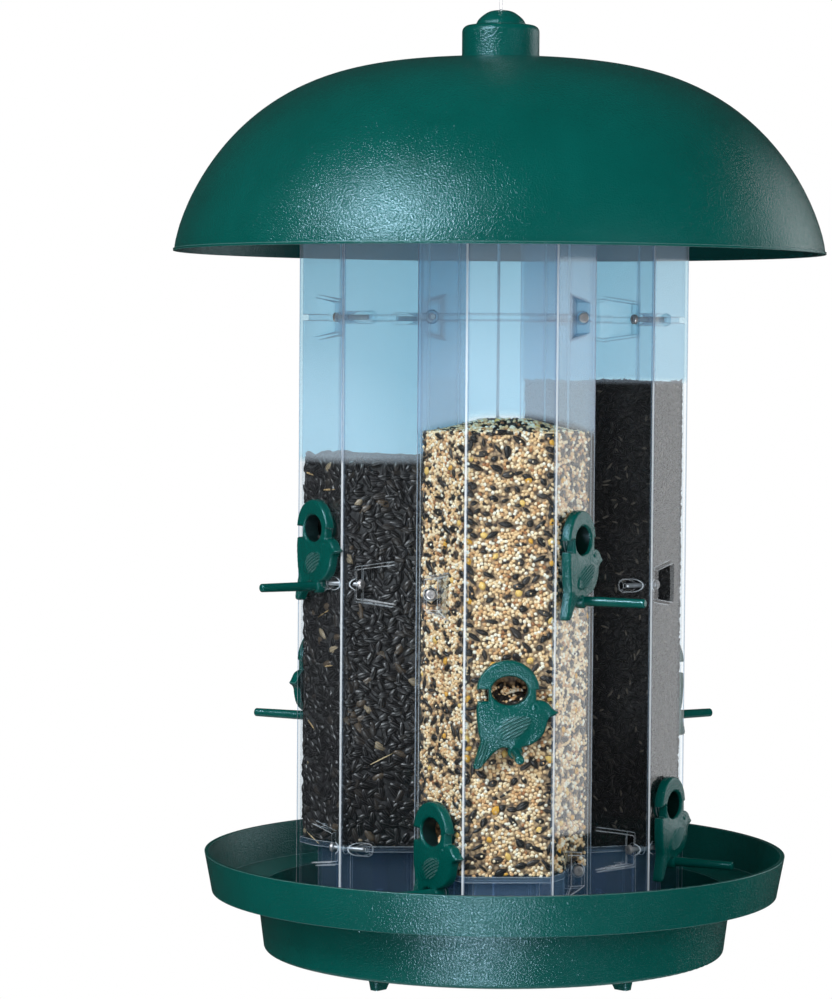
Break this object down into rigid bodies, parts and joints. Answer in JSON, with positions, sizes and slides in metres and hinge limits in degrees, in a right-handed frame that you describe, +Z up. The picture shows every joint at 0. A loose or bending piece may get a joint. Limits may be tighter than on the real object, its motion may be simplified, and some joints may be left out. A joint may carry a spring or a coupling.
{
  "type": "hanging bird feeder",
  "caption": "Hanging seed feeder: clear hexagonal seed tubes with perches and bird-shaped ports, in a round tray, under a domed roof that slides up a central cable.",
  "frame": {"origin": "on the feeder's axis, level with the bottom of the tray's feet", "axes": "+Z up along the hanging cable, the front tube towards -Y, the other two at 30 and 150 degrees from +X"},
  "size_m": [0.33, 0.33, 0.585],
  "materials": {
    "green_plastic": "finely pebbled satin, deep teal green",
    "perch_plastic": "smooth semi-gloss, deep teal green",
    "clear_plastic": "clear moulded plastic with a slight blue cast",
    "steel": "zinc plated",
    "steel_cable": "twisted strand",
    "sunflower_seed": "black striped hulls",
    "mixed_seed": "cream and tan millet with dark bits",
    "nyjer_seed": "fine black grain"
  },
  "bodies": {
    "feeder": {"base_screws": "steel", "perch_front_high": "perch_plastic", "perch_front_low": "perch_plastic", "perch_front_mid": "perch_plastic", "perch_left_high": "perch_plastic", "perch_left_low": "perch_plastic", "perch_left_mid": "perch_plastic", "perch_right_high": "perch_plastic", "perch_right_low": "perch_plastic", "perch_right_mid": "perch_plastic", "port_front_high": "green_plastic", "port_front_low": "green_plastic", "port_front_mid": "green_plastic", "port_left_high": "green_plastic", "port_left_low": "green_plastic", "port_left_mid": "green_plastic", "port_right_high": "green_plastic", "port_right_low": "green_plastic", "port_right_mid": "green_plastic", "seam_screws_front": "steel", "seam_screws_left": "steel", "seam_screws_right": "steel", "seed_fill_front": "mixed_seed", "seed_fill_left": "sunflower_seed", "seed_fill_right": "nyjer_seed", "top_spider": "green_plastic", "tray": "green_plastic", "tube_floor_front": "clear_plastic", "tube_floor_left": "clear_plastic", "tube_floor_right": "clear_plastic", "tube_shell_inner_front": "clear_plastic", "tube_shell_inner_left": "clear_plastic", "tube_shell_inner_right": "clear_plastic", "tube_shell_outer_front": "clear_plastic", "tube_shell_outer_left": "clear_plastic", "tube_shell_outer_right": "clear_plastic"},
    "hanger": {"centre_cable": "steel_cable", "bottom_washer": "steel", "bottom_ferrule": "steel", "hanging_cable": "steel_cable", "loop_ferrule": "steel", "hanger_loop": "steel_cable"},
    "roof_cap": {"roof_cap": "green_plastic", "roof_retainer": "green_plastic"},
    "roof": {"roof": "green_plastic"}
  },
  "joints": [
    {"name": "hanger_swivel", "type": "hinge", "parent": "feeder", "child": "hanger", "pos_m": [0, 0, 0.0104], "axis": [0, 0, 1], "continuous": true},
    {"name": "roof_lift", "type": "slide", "parent": "feeder", "child": "roof_cap", "axis": [0, 0, 1], "range_m": [0, 0.055]},
    {"name": "roof_turn", "type": "hinge", "parent": "roof_cap", "child": "roof", "pos_m": [0, 0, 0.4786], "axis": [0, 0, 1], "continuous": true}
  ]
}
